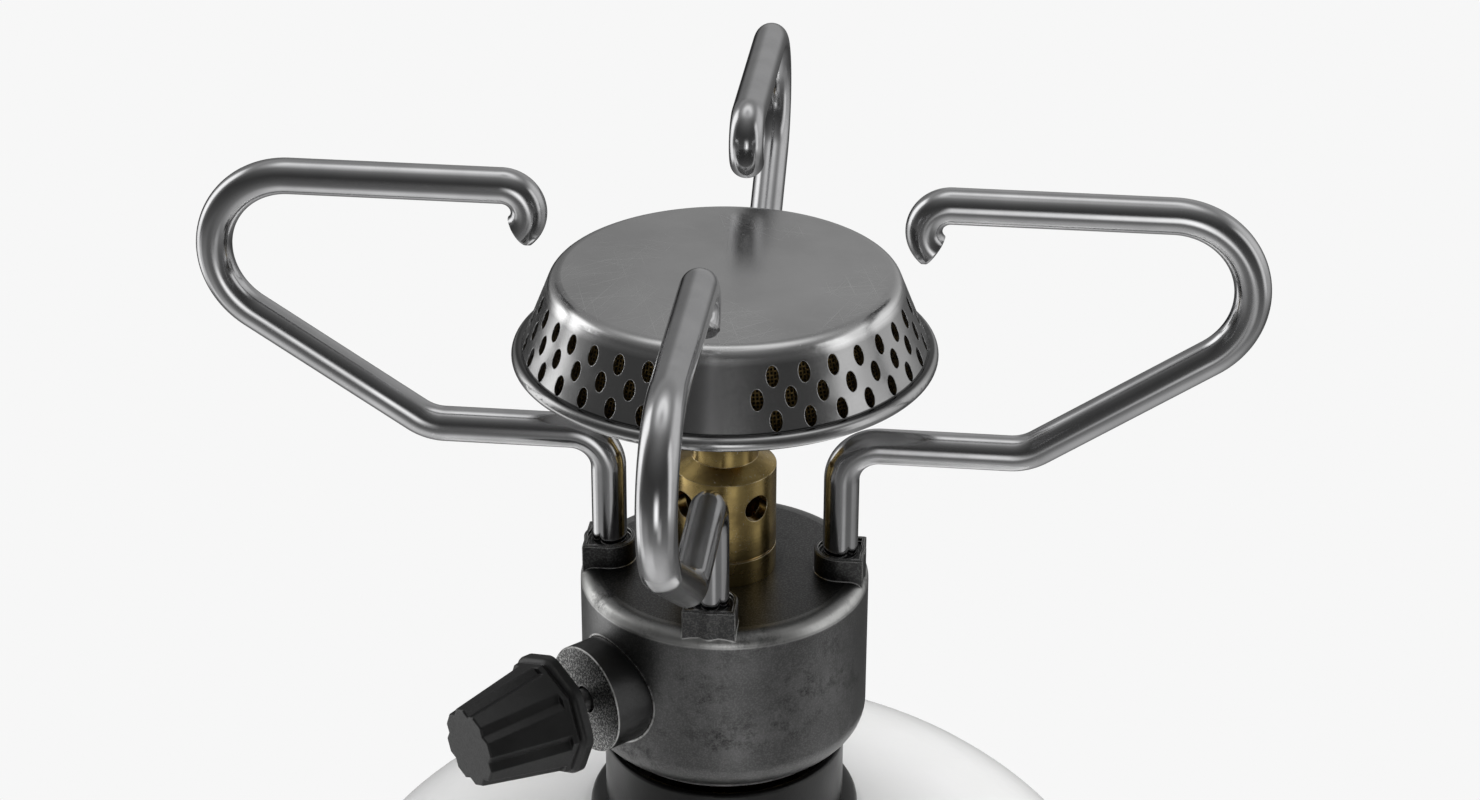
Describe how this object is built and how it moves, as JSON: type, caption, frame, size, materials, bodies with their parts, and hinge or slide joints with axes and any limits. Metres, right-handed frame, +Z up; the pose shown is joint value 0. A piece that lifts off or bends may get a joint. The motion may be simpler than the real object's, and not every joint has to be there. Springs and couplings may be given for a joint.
{
  "type": "camping stove",
  "caption": "Screw-on gas camping stove with a round pierced burner, swinging bent-rod pot supports and a side valve knob, standing on a domed gas cartridge.",
  "frame": {"origin": "on the stove's upright axis, at the bottom of the cartridge's foot ring", "axes": "+Z up along the stove's axis; the pot supports point along +X, +Y, -X and -Y; the valve knob points between -X and -Y"},
  "size_m": [0.1428, 0.1428, 0.1745],
  "materials": {
    "white_enamel": "gloss",
    "black_plastic": "satin",
    "tinplate": "satin",
    "spring_steel": "satin",
    "blackened_cast_alloy": "matte",
    "stainless_rod": "polished",
    "satin_stainless": "satin",
    "aged_brass": "satin",
    "nitrile_rubber": "matte",
    "brass_gauze": "matte"
  },
  "bodies": {
    "cartridge": {"cartridge_can": "white_enamel", "cartridge_dome": "white_enamel", "cartridge_collar": "black_plastic", "valve_cup": "tinplate", "valve_boss": "aged_brass", "valve_gasket": "nitrile_rubber", "valve_spring": "spring_steel", "spring_seat": "tinplate"},
    "valve_stem": {"valve_stem": "spring_steel"},
    "inlet_seal": {"inlet_seal": "nitrile_rubber"},
    "stove": {"body_casing": "blackened_cast_alloy", "base_cover": "blackened_cast_alloy", "support_clip": "spring_steel", "valve_block": "aged_brass", "inlet_socket": "aged_brass", "depressor_pin": "aged_brass", "inlet_filter": "aged_brass", "gland_nut": "blackened_cast_alloy", "gas_jet": "aged_brass", "mixing_tube": "aged_brass", "burner_pan": "satin_stainless", "head_nut": "aged_brass", "flame_gauze": "brass_gauze", "burner_cap": "satin_stainless"},
    "spindle_seals": {"spindle_seals": "nitrile_rubber"},
    "knob": {"valve_spindle": "satin_stainless", "control_knob": "black_plastic"},
    "support_right": {"pot_support_right": "stainless_rod"},
    "support_back": {"pot_support_back": "stainless_rod"},
    "support_left": {"pot_support_left": "stainless_rod"},
    "support_front": {"pot_support_front": "stainless_rod"}
  },
  "joints": [
    {"name": "stem_press", "type": "slide", "parent": "cartridge", "child": "valve_stem", "axis": [0, 0, -1], "range_m": [0, 0.0012], "stiffness_N_per_m": 2000, "springref_m": -0.0015, "deforming": ["valve_spring"]},
    {"name": "unscrew_lift", "type": "slide", "parent": "cartridge", "child": "inlet_seal", "axis": [0, 0, 1], "range_m": [0, 0.00544]},
    {"name": "unscrew_turn", "type": "hinge", "parent": "inlet_seal", "child": "stove", "pos_m": [0, 0, 0.088], "axis": [0, 0, 1], "range_deg": [0, 2160]},
    {"name": "valve_lift", "type": "slide", "parent": "stove", "child": "spindle_seals", "axis": [-0.7071, -0.7071, 0], "range_m": [0, 0.0016]},
    {"name": "knob_turn", "type": "hinge", "parent": "spindle_seals", "child": "knob", "pos_m": [0, 0, 0.10422], "axis": [-0.7071, -0.7071, 0], "range_deg": [0, 720]},
    {"name": "support_right_swing", "type": "hinge", "parent": "stove", "child": "support_right", "pos_m": [0.01603, 0, 0.12], "axis": [0, 0, 1], "range_deg": [0, 90]},
    {"name": "support_back_swing", "type": "hinge", "parent": "stove", "child": "support_back", "pos_m": [0, 0.01603, 0.12], "axis": [0, 0, 1], "range_deg": [0, 90]},
    {"name": "support_left_swing", "type": "hinge", "parent": "stove", "child": "support_left", "pos_m": [-0.01603, 0, 0.12], "axis": [0, 0, 1], "range_deg": [0, 90]},
    {"name": "support_front_swing", "type": "hinge", "parent": "stove", "child": "support_front", "pos_m": [0, -0.01603, 0.12], "axis": [0, 0, 1], "range_deg": [0, 90]}
  ],
  "couplings": [
    {"joint": "unscrew_turn", "follows": "unscrew_lift", "rad_per_m": 6926.3},
    {"joint": "knob_turn", "follows": "valve_lift", "rad_per_m": 7854}
  ]
}
